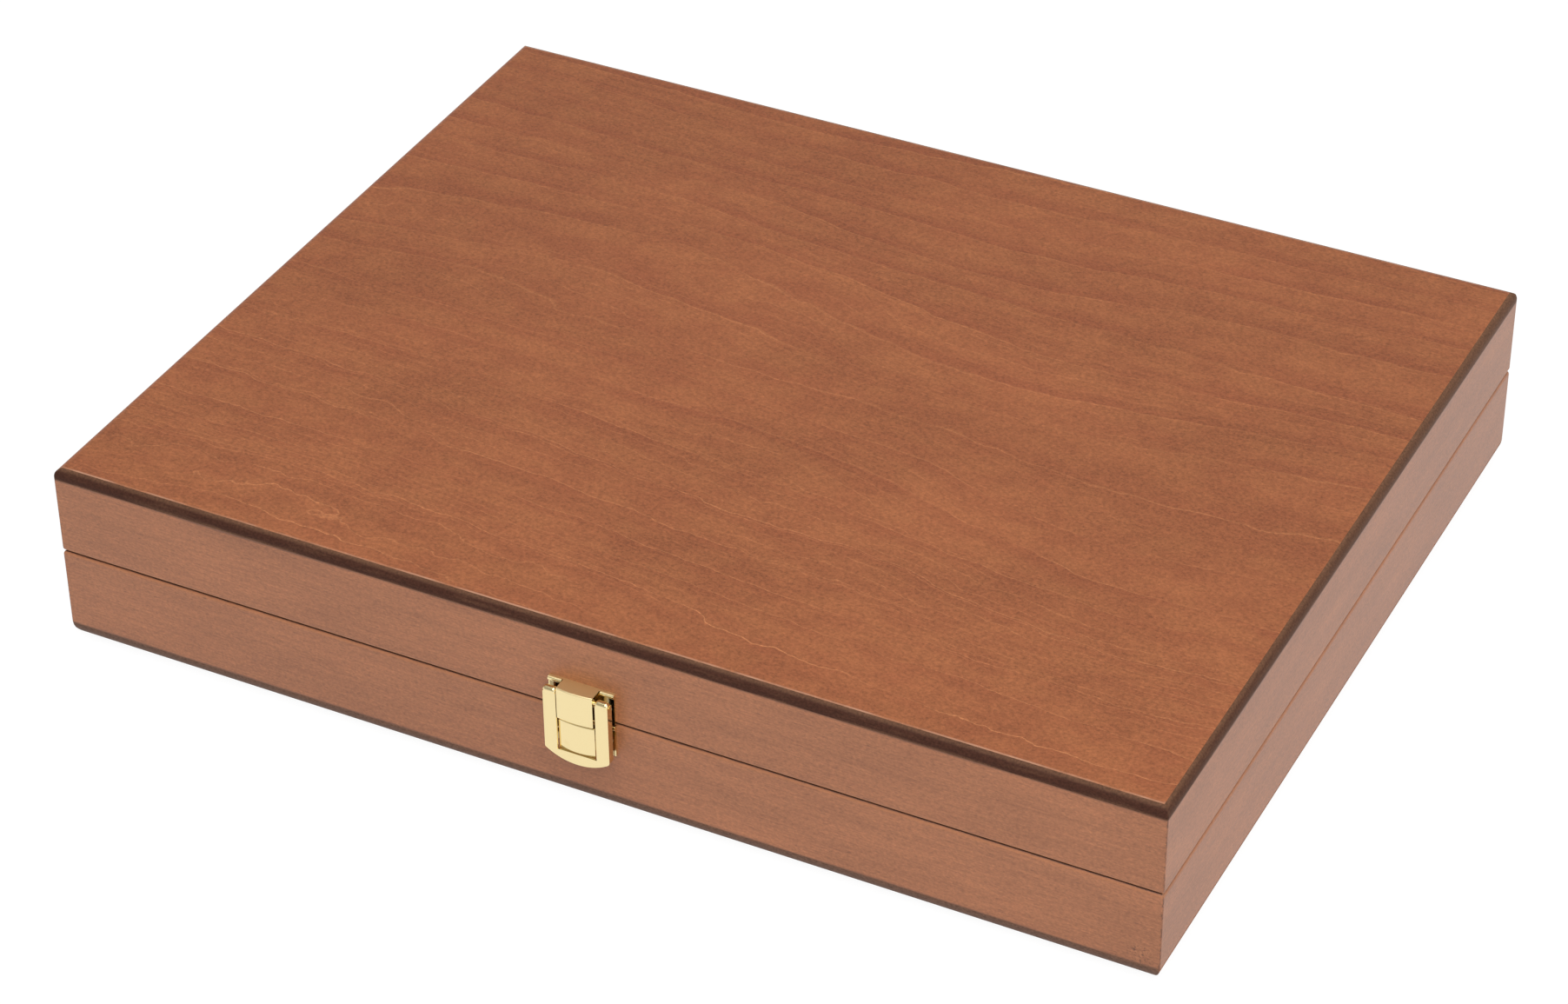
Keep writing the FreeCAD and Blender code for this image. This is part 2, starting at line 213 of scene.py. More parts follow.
# Noises: lengths of their blotches along each axis in millimetres, detail, roughness, shift
GRAINS = {
    "ring sweep": ((260, 80, 1), 1.5, 0.45, 3.1),
    "ring bend": ((75, 24, 1), 2.0, 0.5, 11.7),
    "ring crowding": ((900, 46, 1), 1.0, 0.4, 5.3),
    "ring jags": ((10, 9, 1), 2.5, 0.5, 7.9),
    "ring presence": ((60, 20, 1), 2.0, 0.5, 23.0),
    "hairline zones": ((150, 38, 1), 1.5, 0.5, 17.0),
    "streak zones": ((320, 42, 1), 1.0, 0.5, 47.0),
    "streaks": ((85, 0.9, 1), 2.5, 0.6, 61.0),
    "veneer cloud": ((60, 34, 30), 2.5, 0.55, 31.0),
    "veneer patch": ((15, 9, 9), 3.0, 0.6, 71.0),
    "veneer mottle": ((1.3, 0.95, 0.95), 3.0, 0.72, 2.0),
    "veneer speck": ((0.9, 0.7, 0.7), 2.0, 0.7, 81.0),
    "edge rub": ((16, 16, 1.3), 3.5, 0.62, 41.0),
    "edge grit": ((0.7, 0.7, 0.5), 2.0, 0.6, 43.0),
    "wall fibre": ((11, 0.45, 0.45), 3.0, 0.65, 3.0),
    "wall mottle": ((1.5, 0.9, 0.9), 3.0, 0.72, 9.0),
    "wall speck": ((0.9, 0.6, 0.6), 2.0, 0.7, 13.0),
    "wall patch": ((46, 9, 20), 2.5, 0.55, 21.0),
    "wall fleck": ((2, 0.3, 0.3), 1.0, 0.5, 33.0),
    "wall nick": ((3, 2.2, 3), 3.0, 0.7, 51.0),
    "knock pits": ((0.9, 0.9, 0.9), 2.0, 0.6, 91.0),
    "knock chips": ((1, 1, 1), 2.0, 0.6, 97.0),
    "brushed velour": ((70, 45, 45), 2.0, 0.5, 3.0),
    "velour pile": ((0.45, 0.45, 0.45), 2.0, 0.6, 13.0),
    "metal cloud": ((4, 4, 4), 3.0, 0.6, 5.0),
    "metal hair": ((0.12, 0.12, 3), 2.0, 0.6, 15.0),
}

# Smooth steps: where each starts and ends, and its values there if not nought and one.
# Places are in millimetres, or shares of a ring or of a noise.
STEPS = {
    "wavy front": (-110.0, -10.0, 1.0, 0.0),
    "turned rings": (-45.0, 25.0),
    "ring presence": (0.38, 0.6, 0.4, 1.0),
    "line rise": (0.98, 0.992),
    "line fall": (0.0, 0.008, 1.0, 0.0),
    "hairline rise": (0.93, 0.97),
    "hairline fall": (0.975, 1.0, 1.0, 0.0),
    "hairline zones": (0.42, 0.54, 0.0, 0.75),
    "shade behind rise": (0.01, 0.03),
    "shade behind fall": (0.05, 0.6, 1.0, 0.0),
    "shade before": (0.4, 0.96),
    "streak zones": (0.42, 0.62, 0.15, 1.0),
    "reddish patches": (0.34, 0.68, 0.0, 0.42),
    # Painted highlight on the veneer's arris: where it lies, its strength, and its ends at the
    # front and back
    "arris": (0.01, 0.05),
    "arris highlight strength": (0.36, 0.62, 0.15, 0.7),
    "arris ends": (2.6, 3.2, 1.0, 0.0),
    # Lighter stretches of the panels' edges: rubbing mixed with painted highlight by the veneer and
    # painted reflection by the wall
    "edge by the veneer": (0.25, 1.1, 0.6, 0.0),
    "edge by the wall": (-0.9, 0.0, 0.0, 0.5),
    "edge at the sides": (-0.3, 0.3),
    "light fibres": (0.3, 0.72),
    "dark flecks": (0.67, 0.76, 0.0, 0.4),
    # Painted highlight, mixed with wear, on the rims' rounding next to the seam
    "rubbed rim rise": (0.25, 0.4),
    "rubbed rim fall": (0.7, 1.1, 0.55, 0.0),
    # Seam on the rims: painted shade on the front and back walls, painted light on the side walls
    "seam": (0.18, 0.34, 1.0, 0.0),
    "seam depth": (1.0, 1.4, 1.0, 0.0),
    "stain bleed": (0.0, 0.7, 1.0, 0.0),
    "nicked corner": (-0.1, 0.5, 0.85, 0.0),
    "knock": (1.2, 4.6, 1.0, 0.0),
    "knock pits": (0.53, 0.6, 0.0, 0.75),
    "knock chips": (0.54, 0.6, 0.0, 0.8),
    "brushed velour": (0.25, 0.75),
    "rubbed metal": (0.55, 0.95, 0.0, 0.45),
    "dull clasp top": (-0.3, -0.1, 0.0, 0.35),
    # Where painted shade falls on the clasp's plates behind the flap and under the hood
    "behind the flap": (2.0, 3.2),
    "inside the plate": (0.2, 0.4),
    "under the hood": (-1.7, -1.4, 0.65, 0.0),
}

# How far noises move the rings, in millimetres: where the rings are calm and where they are wavy
RING_SHIFTS = {
    "ring sweep": (30.0, 30.0),
    "ring bend": (5.0, 9.0),
    "ring crowding": (12.0, 12.0),
    "ring jags": (1.35, 2.7),
}
RING_SLOPE = 0.03
HAIRLINE_SPACING = 0.29
STREAK_SWING = 0.2
WAVY_SHADE = 0.5
WAVY_LINE = 1.9
RING_SHADE = 0.58
RING_LINE = 0.55

# How far the brightness swings with each noise, and its mean
VENEER_SWINGS = {"veneer cloud": 0.2, "veneer mottle": 0.2, "veneer speck": 0.6}
VENEER_MEAN = 0.985
WALL_SWINGS = {"wall mottle": 0.3, "wall speck": 0.42, "wall patch": 0.24}
WALL_MEAN = 1.02
WALL_EVENNESS = 0.6

# Tints of the walls that run across the case and of those that run front to back; the second is a
# painted reflection that makes the side walls greyer, as the white room's sheen does
WARMTH_ACROSS = (1.0, 0.99, 0.98)
DEEP_SHEEN_TINT = (0.96, 1.0, 1.05)

# Shares in the seam of the painted shade on the front and back walls and the painted light on the
# side walls, then of the stain beside the panels and on the panels' side edges, front and back
SEAM_ACROSS = 0.85
SEAM_DEEP = 0.5
BLEED = 0.6
LID_SIDES = (0.18, 0.6)
FOOT_SIDES = (0.85, 0.85)

# How far the edge bands, the seam's painted shade and light, the stain beside the panels and the
# nicks wander, in millimetres, and how far rubbing, grit and pile swing
EDGE_WANDER, SEAM_WANDER, BLEED_WANDER, NICK_WANDER = 0.5, 0.12, 0.4, 0.9
RUB_SWING, GRIT_SWING, PILE_SWING = 0.55, 0.7, 0.5

# Depths of marks in the walls' bump, and the place of the knock in millimetres
FLECK_DEPTH, PIT_DEPTH = 2.0, 0.8
KNOCK_FROM_CORNER, KNOCK_HEIGHT = 5.5, 9.0

# Roughness and its swing; for metals roughness, depth of scratches and shares of hair and cloud
VENEER_GLOSS, VENEER_GLOSS_SWING = 0.46, 0.12
WALL_GLOSS, WALL_GLOSS_SWING = 0.42, 0.06
BRASS_GLOSS, BRASS_SCRATCH = 0.24, 0.25
GOLD_GLOSS, GOLD_SCRATCH = 0.1, 0.08
HAIR_SHARE, CLOUD_SHARE = 0.5, 0.4


class Finish(Wiring):
    """Nodes of one material. Each method returns an output socket."""

    def __init__(self, name):
        self.material = bpy.data.materials.new(name)
        self.material.use_nodes = True
        super().__init__(self.material.node_tree)
        self.surface = self.tree.nodes["Principled BSDF"]
        self.grains = {}

    def axes(self):
        """The three Object coordinates, in millimetres."""
        inputs = {0: self.node("TexCoord", {}).outputs["Object"], "Scale": 1 / MM}
        scaled = self.node("VectorMath", inputs, operation="SCALE").outputs[0]
        return self.node("SeparateXYZ", {0: scaled}).outputs

    def grain(self, vector, name):
        """The named noise, made once for the material."""
        if name not in self.grains:
            lengths, detail, roughness, shift = GRAINS[name]
            inputs = {
                "Vector": vector,
                "Location": (shift, shift * 0.7, shift * 1.3),
                "Scale": tuple(1 / value for value in lengths),
            }
            moved = self.node("Mapping", inputs).outputs[0]
            inputs = {"Vector": moved, "Scale": 1.0, "Detail": detail, "Roughness": roughness}
            self.grains[name] = self.node("TexNoise", inputs).outputs["Fac"]
        return self.grains[name]

    def step(self, value, name):
        """The named smooth step of a value."""
        return self.ramp(value, *STEPS[name])

    def peak(self, value, name):
        """The named rise of a value times the named fall."""
        return self.times(self.step(value, name + " rise"), self.step(value, name + " fall"))

    def swing(self, value, amount):
        """A noise value made to swing by the given amount about nought."""
        return self.times(self.minus(value, 0.5), 2 * amount)

    def between(self, share, low, high):
        """Low where the share is nought, high where it is one."""
        return self.calc("MULTIPLY_ADD", share, high - low, low)

    def apart(self, value, level):
        """Distance of a coordinate from a level of the case."""
        return self.calc("ABSOLUTE", self.minus(value, level / MM))

    def inset(self, value, half):
        """How far a coordinate lies inside the edge at half of a width."""
        return self.minus(half / MM, self.calc("ABSOLUTE", value))

    def uneven(self, space, mean, swings):
        """A brightness that swings about its mean with the named noises."""
        for name, amount in swings.items():
            mean = self.plus(mean, self.swing(self.grain(space, name), amount))
        return mean

    def mix(self, share, first, second, blend="MIX"):
        made = self.node("Mix", {}, data_type="RGBA", blend_type=blend)
        self.feed(made.inputs[0], share)
        self.feed(made.inputs[6], first)
        self.feed(made.inputs[7], second)
        return made.outputs[2]

    def tone(self, shade, value):
        """A colour with its brightness scaled."""
        inputs = {0: shade, "Scale": value}
        return self.node("VectorMath", inputs, operation="SCALE").outputs[0]

    def bump(self, height, strength, distance):
        inputs = {"Height": height, "Strength": strength, "Distance": distance * MM}
        return self.node("Bump", inputs).outputs[0]

    def dress(self, **values):
        for name, value in values.items():
            self.feed(self.surface.inputs[name.replace("_", " ")], value)
        return self.material


def growth_rings(finish, x, y, spacing):
    """Light line, dark side and fine streaks of a sliced veneer whose rings run along X.

    The rings are wavier near the front edge. Their dark side lies before the line in the front
    part of the lid and behind it in the back part.
    """
    plan = finish.join(x, y, 0.0)
    wavy = finish.step(y, "wavy front")
    level = finish.calc("MULTIPLY_ADD", x, RING_SLOPE, y)
    for name, (calm, wild) in RING_SHIFTS.items():
        shift = finish.swing(finish.grain(plan, name), 1.0)
        level = finish.plus(level, finish.times(shift, finish.between(wavy, calm, wild)))
    ring = finish.calc("FRACT", finish.calc("DIVIDE", level, spacing / MM))
    presence = finish.step(finish.grain(plan, "ring presence"), "ring presence")
    line = finish.larger(finish.step(ring, "line rise"), finish.step(ring, "line fall"))
    hair = finish.calc("FRACT", finish.calc("DIVIDE", level, HAIRLINE_SPACING * spacing / MM))
    crowded = finish.step(finish.grain(plan, "hairline zones"), "hairline zones")
    hairline = finish.times(finish.peak(hair, "hairline"), crowded)
    line = finish.larger(finish.times(line, presence), hairline)
    line = finish.times(line, finish.between(wavy, 1.0, WAVY_LINE))
    behind = finish.peak(ring, "shade behind")
    before = finish.step(ring, "shade before")
    turned = finish.step(y, "turned rings")
    side = finish.calc("MULTIPLY_ADD", finish.minus(behind, before), turned, before)
    side = finish.times(side, presence, finish.between(wavy, 1.0, WAVY_SHADE))
    zone = finish.step(finish.grain(plan, "streak zones"), "streak zones")
    streak = finish.grain(finish.join(x, level, 0.0), "streaks")
    return line, side, finish.times(finish.swing(streak, STREAK_SWING), zone)


def veneer_finish(name, colours, top):
    """Satin veneer with growth rings, reddish patches, a fine mottle and a painted highlight,
    broken up like rubbing, along the front and back end edges.
    """
    finish = Finish(name)
    x, y, z = finish.axes()
    space = finish.join(x, y, z)
    line, side, streak = growth_rings(finish, x, y, colours.ring_spacing)
    patch = finish.grain(space, "veneer patch")
    mottle = finish.grain(space, "veneer mottle")
    reddish = finish.step(patch, "reddish patches")
    shade = finish.mix(reddish, colours.veneer[:], colours.veneer_dark[:])
    shade = finish.mix(finish.times(side, RING_SHADE), shade, colours.veneer_dark[:])
    shade = finish.mix(finish.times(line, RING_LINE), shade, colours.veneer_light[:])
    mean = finish.plus(VENEER_MEAN, streak)
    shade = finish.tone(shade, finish.uneven(space, mean, VENEER_SWINGS))
    # Painted highlight along the front and back arris, broken up by the patch noise
    turning = finish.step(finish.apart(z, top), "arris")
    ends = finish.step(finish.inset(y, half_depth), "arris ends")
    arris = finish.times(turning, finish.step(patch, "arris highlight strength"), ends)
    shade = finish.mix(arris, shade, colours.veneer_arris_highlight[:])
    return finish.dress(
        Base_Color=shade,
        Roughness=finish.plus(finish.swing(mottle, VENEER_GLOSS_SWING), VENEER_GLOSS),
        Normal=finish.bump(mottle, strength=0.12, distance=0.1),
        Specular_IOR_Level=0.22,
    )


def core_finish(name, dark, light, top, span, sides):
    """Stained edge of a panel, dark in the middle and lighter next to the veneer and to the walls,
    where rubbing is mixed with a painted highlight by the veneer and a painted reflection by the
    walls.

    The sides give a paler colour for the edges at the left and right, with its share at the
    front and at the back.
    """
    finish = Finish(name)
    x, y, z = finish.axes()
    space = finish.join(x, y, z)
    rub = finish.grain(space, "edge rub")
    grit = finish.grain(space, "edge grit")
    below = finish.plus(finish.apart(z, top), finish.swing(rub, EDGE_WANDER))
    # Painted highlight next to the veneer and painted reflection next to the wall, mixed with
    # rubbing
    upper = finish.step(below, "edge by the veneer")
    lower = finish.step(finish.minus(below, span / MM), "edge by the wall")
    rubbing = finish.swing(rub, RUB_SWING)
    rubbed = finish.calc("ADD", finish.larger(upper, lower), rubbing, clamp=True)
    shade = finish.mix(rubbed, dark[:], light[:])
    paler, at_front, at_back = sides
    nearer = finish.minus(finish.inset(y, half_depth), finish.inset(x, half_width))
    along = finish.ramp(y, -half_depth / MM, half_depth / MM, at_front, at_back)
    share = finish.times(finish.step(nearer, "edge at the sides"), along)
    shade = finish.mix(share, shade, paler[:])
    shade = finish.tone(shade, finish.plus(1.0, finish.swing(grit, GRIT_SWING)))
    return finish.dress(
        Base_Color=shade,
        Roughness=0.62,
        Normal=finish.bump(grit, strength=0.2, distance=0.15),
        Specular_IOR_Level=0.12,
    )


def wall_finish(name, colours, along_x, half):
    """Stained beech with fine straight grain, short dark flecks and nicked corners, a painted
    highlight with wear on the rim, painted shade in the seam at front and back, painted light in it
    at the sides, and a painted grey sheen on the side walls.
    """
    finish = Finish(name)
    x, y, z = finish.axes()
    # The seam colour is painted shade and dirt on the front and back walls and painted light on the
    # side walls
    if along_x:
        run, half_run, reach, half_reach = x, half_width, y, half_depth
        wall_tint_and_sheen, stain, seam_share = WARMTH_ACROSS, colours.seam_shade_and_nicks, SEAM_ACROSS
    else:
        run, half_run, reach, half_reach = y, half_depth, x, half_width
        wall_tint_and_sheen, stain, seam_share = DEEP_SHEEN_TINT, colours.seam_painted_light, SEAM_DEEP
    if half == "base":
        rim, inward, far = wall_high.z, -1.0, wall_low.z
    else:
        rim, inward, far = rail_low.z, 1.0, rail_high.z
    space = finish.join(run, z, reach)
    kinds = ("wall fibre", "wall patch", "wall nick")
    fibre, patch, nick = (finish.grain(space, kind) for kind in kinds)
    light = finish.step(fibre, "light fibres")
    shade = finish.mix(light, colours.wall_dark[:], colours.wall_pale_and_rim_highlight[:])
    shade = finish.mix(WALL_EVENNESS, shade, colours.wall[:])
    shade = finish.tone(shade, finish.uneven(space, WALL_MEAN, WALL_SWINGS))
    # Painted reflection: the side walls are tinted greyer as by the room's sheen; the front and
    # back walls get a plain tint
    shade = finish.mix(1.0, shade, wall_tint_and_sheen, "MULTIPLY")
    fleck = finish.step(finish.grain(space, "wall fleck"), "dark flecks")
    shade = finish.mix(fleck, shade, colours.core[:])
    from_rim = finish.times(finish.minus(z, rim / MM), inward)
    # Painted highlight, mixed with wear, on the rim's rounding
    shade = finish.mix(finish.peak(from_rim, "rubbed rim"), shade, colours.wall_pale_and_rim_highlight[:])
    # Painted seam on the rim: shade on the front and back walls, light on the side walls
    seam = finish.step(finish.plus(from_rim, finish.swing(nick, SEAM_WANDER)), "seam")
    outer = finish.step(finish.inset(reach, half_reach), "seam depth")
    shade = finish.mix(finish.times(seam, seam_share, outer), shade, stain[:])
    if along_x or half == "lid":
        bleed = finish.plus(finish.apart(z, far), finish.swing(patch, BLEED_WANDER))
        bleed = finish.times(finish.step(bleed, "stain bleed"), BLEED)
        shade = finish.mix(bleed, shade, colours.core[:])
    worn = finish.minus(finish.inset(run, half_run), finish.swing(nick, NICK_WANDER))
    shade = finish.mix(finish.step(worn, "nicked corner"), shade, colours.seam_shade_and_nicks[:])
    pits, chips = knocked_corner(finish, x, y, z)
    shade = finish.mix(pits, shade, colours.seam_shade_and_nicks[:])
    shade = finish.mix(chips, shade, colours.wall_pale_and_rim_highlight[:])
    hollow = finish.plus(finish.times(fleck, FLECK_DEPTH), finish.times(pits, PIT_DEPTH))
    return finish.dress(
        Base_Color=shade,
        Roughness=finish.plus(finish.swing(fibre, WALL_GLOSS_SWING), WALL_GLOSS),
        Normal=finish.bump(finish.minus(fibre, hollow), strength=0.2, distance=0.1),
        Specular_IOR_Level=0.5,
    )


def knocked_corner(finish, x, y, z):
    """Dark pits and pale chips in a small knock low down by the front right corner."""
    place = (half_width / MM - KNOCK_FROM_CORNER, -half_depth / MM, KNOCK_HEIGHT)
    point = finish.join(x, y, z)
    away = finish.node("VectorMath", {0: point, 1: place}, operation="DISTANCE").outputs["Value"]
    near = finish.step(away, "knock")
    marks = ("knock pits", "knock chips")
    return [finish.times(near, finish.step(finish.grain(point, name), name)) for name in marks]


def velour_finish(name, looks):
    """Short velour pile with brushed patches."""
    finish = Finish(name)
    x, y, z = finish.axes()
    space = finish.join(x, y, z)
    brushed = finish.step(finish.grain(space, "brushed velour"), "brushed velour")
    pile = finish.grain(space, "velour pile")
    shade = finish.mix(brushed, looks.pile_shade[:], looks.pile[:])
    shade = finish.tone(shade, finish.plus(1.0, finish.swing(pile, PILE_SWING)))
    return finish.dress(
        Base_Color=shade,
        Roughness=0.95,
        Sheen_Weight=0.6,
        Sheen_Roughness=0.4,
        Sheen_Tint=(0.55, 0.2, 0.27),
        Specular_IOR_Level=0.1,
        Normal=finish.bump(pile, strength=0.5, distance=0.2),
    )


def metal_finish(name, bright, worn, roughness, scratch, recess_shade=None):
    """Polished plate with faint rubbing marks, and painted shade in the recesses behind the flap.
    """
    finish = Finish(name)
    x, y, z = finish.axes()
    space = finish.join(x, y, z)
    cloud = finish.grain(space, "metal cloud")
    hair = finish.grain(space, "metal hair")
    shade = finish.mix(finish.step(cloud, "rubbed metal"), bright[:], worn[:])
    gloss = finish.plus(finish.swing(hair, HAIR_SHARE * roughness), roughness)
    gloss = finish.plus(gloss, finish.times(cloud, CLOUD_SHARE * roughness))
    # Painted shade on the plates where the flap and the hood cover them
    if recess_shade:
        plate_low, plate_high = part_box("clasp_lid_plate")
        from_top = finish.minus(z, plate_high.z / MM)
        gloss = finish.plus(gloss, finish.step(from_top, "dull clasp top"))
        shaded_recess = finish.times(
            finish.step(finish.minus(y, plate_low.y / MM), "behind the flap"),
            finish.step(finish.inset(x, plate_high.x), "inside the plate"),
            finish.step(from_top, "under the hood"),
        )
        shade = finish.mix(shaded_recess, shade, recess_shade[:])
    return finish.dress(
        Base_Color=shade,
        Metallic=1.0,
        Roughness=gloss,
        Normal=finish.bump(hair, scratch, distance=0.02),
    )


# Mesh building

CRISP_ANGLE = math.radians(35)
LEAST_RADIUS = 0.02 * MM
CORNER_STEPS = 5
MITRE_STEPS = 4
RIM_STEPS = 8
TOP_STEPS = 10
FOOT_STEPS = 12
WALL_FOOT_STEPS = 4
LEAF_THICKNESS = 1.0 * MM
POCKET_EASE = 0.1 * MM
POCKET_OVERRUN = 2 * MM


def arc(centre, radius, start, end, steps):
    """Points of an arc, angles in degrees, as (inset, height)."""
    turns = [math.radians(start + (end - start) * i / steps) for i in range(steps + 1)]
    return [(centre[0] + radius * math.cos(t), centre[1] + radius * math.sin(t)) for t in turns]


def new_mesh(name, mesh_data):
    """Mesh made of a bmesh, which is used up."""
    mesh = bpy.data.meshes.new(name)
    mesh_data.to_mesh(mesh)
    mesh_data.free()
    return mesh


def new_object(name, data):
    made = bpy.data.objects.new(name, data)
    bpy.context.scene.collection.objects.link(made)
    return made


def finished(holder):
    """Mesh of an object with its modifiers applied."""
    ready = holder.evaluated_get(bpy.context.evaluated_depsgraph_get())
    result = bmesh.new()
    result.from_mesh(bpy.data.meshes.new_from_object(ready))
    return result


def new_piece(name, mesh_data, body, material):
    """Object made of a bmesh, with smooth roundings and crisp corners, riding on a body."""
    bmesh.ops.recalc_face_normals(mesh_data, faces=mesh_data.faces)
    mesh = new_mesh(name, mesh_data)
    mesh.shade_smooth()
    mesh.set_sharp_from_angle(angle=CRISP_ANGLE)
    mesh.materials.append(material)
    piece = new_object(name, mesh)
    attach(piece, body)
    return piece


def bridge(mesh_data, rows, closed_rows):
    """Quads between neighbouring rows of points."""
    made = [[mesh_data.verts.new(point) for point in row] for row in rows]
    for first, second in zip(made, made[1:]):
        count = len(first)
        for i in range(count if closed_rows else count - 1):
            after = (i + 1) % count
            mesh_data.faces.new((first[i], first[after], second[after], second[i]))
    return made


def closed_mesh(rows):
    """Skin over closed rows of points, with a face at either end."""
    mesh_data = bmesh.new()
    made = bridge(mesh_data, rows, True)
    mesh_data.faces.new(made[0])
    mesh_data.faces.new(made[-1])
    return mesh_data


def plan_ring(inset, height, corner):
    """Rectangle of the case's plan, drawn in by the inset, with rounded corners."""
    radius = max(corner - inset, LEAST_RADIUS)
    centre_x = half_width - inset - radius
    centre_y = half_depth - inset - radius
    points = []
    for sign_x, sign_y, start in ((1, 1, 0), (-1, 1, 90), (-1, -1, 180), (1, -1, 270)):
        centre = (sign_x * centre_x, sign_y * centre_y)
        for x, y in arc(centre, radius, start, start + 90, CORNER_STEPS):
            points.append((x, y, height))
    return points


def panel_mesh(profile, corner):
    """Panel with an eased edge, whose profile is given as (inset, height)."""
    return closed_mesh([plan_ring(inset, height, corner) for inset, height in profile])


def wall_mesh(profile, turn, half_run, half_reach, corner):
    """Wall with mitred ends: the closed profile of (inset, height) drawn along one side."""
    rows = []
    for end in (-1, 1):
        for i in range(MITRE_STEPS + 1)[::end]:
            share = i / MITRE_STEPS
            angle = math.radians(45) * share
            row = []
            for inset, height in profile:
                radius = max(corner - inset, 0)
                run = half_run - inset - corner + radius * math.sin(angle)
                run += (corner - radius) * share
                out = half_reach - inset - radius * (1 - math.cos(angle))
                row.append(turn @ Vector((end * run, -out, height)))
            rows.append(row)
    return closed_mesh(rows)


def pocketed(mesh_data, node_names):
    """Wall with a pocket cut for each hinge leaf that lies in it."""
    bmesh.ops.recalc_face_normals(mesh_data, faces=mesh_data.faces)
    holder = new_object("pocketed", new_mesh("pocketed", mesh_data))
    cutters = []
    for name in node_names:
        low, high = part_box(name)
        rim = rail_low.z if "lid_leaf" in name else wall_high.z
        first = Vector((low.x - POCKET_EASE, low.y - POCKET_EASE, rim - LEAF_THICKNESS))
        last = Vector((high.x + POCKET_EASE, half_depth + POCKET_OVERRUN, rim + LEAF_THICKNESS))
        block = bmesh.new()
        bmesh.ops.create_cube(block, size=1.0)
        for vertex in block.verts:
            sizes = zip(vertex.co, last - first)
            vertex.co = Vector(share * size for share, size in sizes) + (first + last) / 2
        cutters.append(new_object("cutter", new_mesh("cutter", block)))
        change = holder.modifiers.new("pocket", "BOOLEAN")
        change.operation = "DIFFERENCE"
        change.object = cutters[-1]
    result = finished(holder)
    for scrap in [holder, *cutters]:
        bpy.data.objects.remove(scrap)
    return result


def base_profile(shape):
    foot, rim, ease = shape.foot_rounding, shape.rim_rounding, shape.inner_easing
    low, high = wall_low.z, wall_high.z
    start = math.degrees(math.asin((foot - low) / foot))
    outer = arc((foot, foot), foot, 180 + start, 180, WALL_FOOT_STEPS)
    upper = arc((rim, high - rim), rim, 180, 90, RIM_STEPS)
    inner = [(wall_thickness - ease, high), (wall_thickness, high - ease), (wall_thickness, low)]
    face = [(0, foot + ease), (0, high - rim - ease)]
    return outer + face + upper + [(rim + ease, high)] + inner


def lid_profile(shape):
    rim, ease = shape.rim_rounding, shape.inner_easing
    low, high = rail_low.z, rail_high.z
    lower = arc((rim, low + rim), rim, 270, 180, RIM_STEPS)
    inner = [(wall_thickness, high), (wall_thickness, low + ease), (wall_thickness - ease, low)]
    return [(rim + ease, low)] + lower + [(0, low + rim + ease), (0, high)] + inner


# Fasteners

ROUND_SIDES = 32
DOME_RINGS = 10
SLOT_OVERRUN = 2.2


class Pattern(Wiring):
    """Tree that sets one fastener, drawn upright with its seat at the origin, at every point."""

    def __init__(self, name, sizes):
        super().__init__(bpy.data.node_groups.new(name, "GeometryNodeTree"))
        kinds = {"Points": "Geometry", **{size: "Float" for size in sizes}, "Material": "Material"}
        interface = self.tree.interface
        for label, kind in kinds.items():
            interface.new_socket(label, in_out="INPUT", socket_type="NodeSocket" + kind)
        interface.new_socket("Fasteners", in_out="OUTPUT", socket_type="NodeSocketGeometry")
        self.given = self.tree.nodes.new("NodeGroupInput").outputs

    def part(self, kind, inputs, **settings):
        """First output of a geometry node."""
        return self.add("GeometryNode" + kind, inputs, **settings).outputs[0]

    def cone(self, top, bottom, depth, drop, rings=1):
        """Round stretch whose upper end lies the given drop below the origin."""
        mesh = self.part("MeshCone", {
            "Vertices": ROUND_SIDES, "Side Segments": rings,
            "Radius Top": top, "Radius Bottom": bottom, "Depth": depth,
        })
        lift = self.times(self.plus(drop, depth), -1.0)
        return self.part("Transform", {"Geometry": mesh, "Translation": self.join(0.0, 0.0, lift)})

    def set_out(self, meshes, turn):
        """Joins the meshes, turns them and sets them out on the points."""
        joined = self.add("GeometryNodeJoinGeometry", {})
        for mesh in meshes:
            self.tree.links.new(mesh, joined.inputs[0])
        made = self.part("Transform", {"Geometry": joined.outputs[0], "Rotation": turn})
        made = self.part("InstanceOnPoints", {"Points": self.given["Points"], "Instance": made})
        made = self.part("RealizeInstances", {"Geometry": made})
        made = self.part("SetMaterial", {"Geometry": made, "Material": self.given["Material"]})
        self.add("NodeGroupOutput", {"Fasteners": made})
        return self.tree


def screw_pattern(turn):
    """Slotted countersunk screws."""
    sizes = ("Head radius", "Shank radius", "Length", "Tip length", "Slot")
    pattern = Pattern("slotted screws", sizes)
    head, shank, whole_length, tip, slot = (pattern.given[size] for size in sizes)
    head_length = pattern.minus(head, shank)
    shank_length = pattern.minus(pattern.minus(whole_length, head_length), tip)
    block = pattern.join(pattern.times(head, SLOT_OVERRUN), slot, pattern.times(slot, 2.0))
    inputs = {
        "Mesh 1": pattern.cone(head, shank, head_length, 0.0),
        "Mesh 2": pattern.part("MeshCube", {"Size": block}),
    }
    slotted = pattern.part("MeshBoolean", inputs, operation="DIFFERENCE")
    stem = pattern.cone(shank, shank, shank_length, head_length)
    point = pattern.cone(shank, 0.0, tip, pattern.plus(head_length, shank_length))
    return pattern.set_out((slotted, stem, point), turn)


